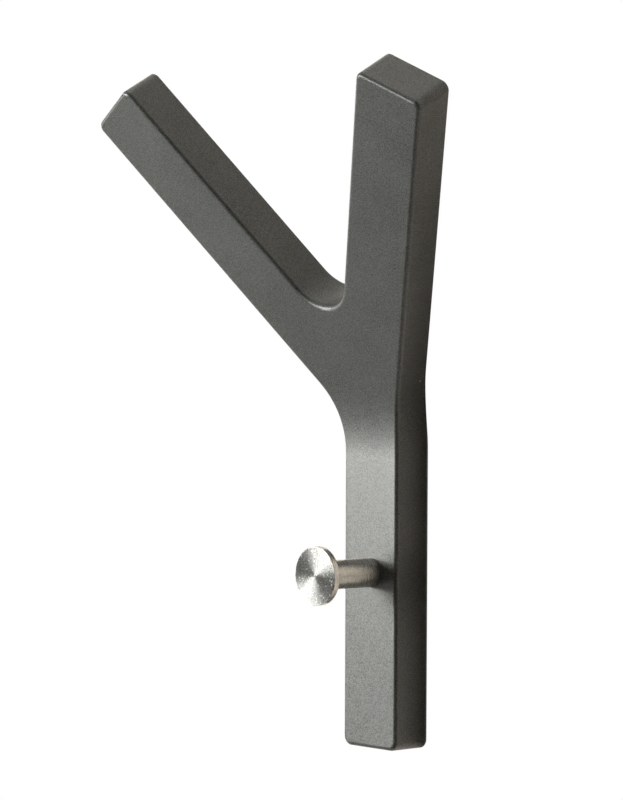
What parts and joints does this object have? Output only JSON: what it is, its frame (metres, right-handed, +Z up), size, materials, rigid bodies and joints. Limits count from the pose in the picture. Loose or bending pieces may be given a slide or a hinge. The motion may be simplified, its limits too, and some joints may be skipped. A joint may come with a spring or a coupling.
{
  "type": "coat hook",
  "caption": "Wall coat hook: a flat-backed stem bends forward and forks into two square arms, with a round turned knob on its front.",
  "frame": {"origin": "middle of the stem's flat back, on the wall face", "axes": "+X right seen from the room, +Y into the wall, +Z up along the stem"},
  "size_m": [0.1282, 0.0603, 0.1849],
  "materials": {
    "coated_body": "matte",
    "turned_steel": "satin",
    "plated_screw": "satin"
  },
  "bodies": {
    "root": {"hook_body": "coated_body", "knob": "turned_steel", "knob_screw": "plated_screw"}
  },
  "joints": []
}
